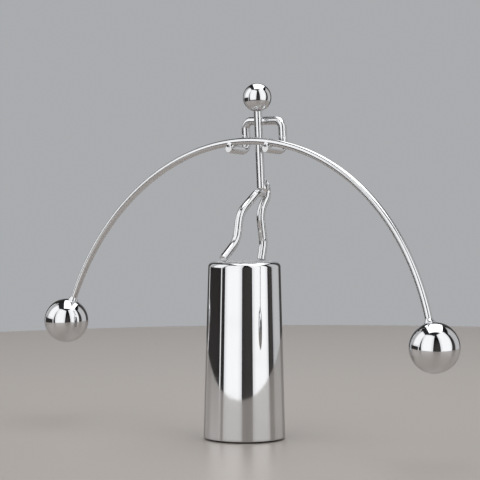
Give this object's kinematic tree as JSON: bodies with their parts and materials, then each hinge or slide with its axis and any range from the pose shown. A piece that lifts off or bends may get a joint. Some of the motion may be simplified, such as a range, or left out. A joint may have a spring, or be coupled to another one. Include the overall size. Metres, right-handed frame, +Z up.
{
  "type": "counterweight balancing toy",
  "caption": "Polished wire lifter that rocks on a weighted tapered stand, its arms holding an arched bar with a ball weight at each end that keeps it balanced.",
  "frame": {"origin": "on the table, in the middle of the stand's underside", "axes": "+Z up the stand, +X along the bow towards its right-hand ball, the lifter faces -Y"},
  "size_m": [0.2078, 0.032, 0.1387],
  "materials": {
    "stand_chrome": "mirror chrome plating on the drawn stand",
    "ball_chrome": "mirror chrome plating on the balls",
    "wire_chrome": "bright chrome plating on bent wire",
    "plated_braze": "plated filler, slightly uneven",
    "ballast_iron": "rough cast",
    "plate_steel": "plain sheet steel",
    "pad_rubber": "matte foam rubber"
  },
  "bodies": {
    "stand": {"stand_shell": "stand_chrome", "stand_ballast": "ballast_iron", "stand_plate": "plate_steel", "foot_pad": "pad_rubber"},
    "lifter": {"torso_rod": "wire_chrome", "head_ball": "ball_chrome", "arm_wire": "wire_chrome", "front_leg": "wire_chrome", "rear_leg": "wire_chrome", "shoulder_braze": "plated_braze", "hip_braze": "plated_braze", "left_hand_braze": "plated_braze", "right_hand_braze": "plated_braze", "bow_bar": "wire_chrome", "left_ball": "ball_chrome", "right_ball": "ball_chrome", "left_ball_braze": "plated_braze", "right_ball_braze": "plated_braze"}
  },
  "joints": [
    {"name": "rock", "type": "hinge", "parent": "stand", "child": "lifter", "pos_m": [0, 0, 0.073], "axis": [0, 1, 0], "range_deg": [-21, 21]}
  ]
}
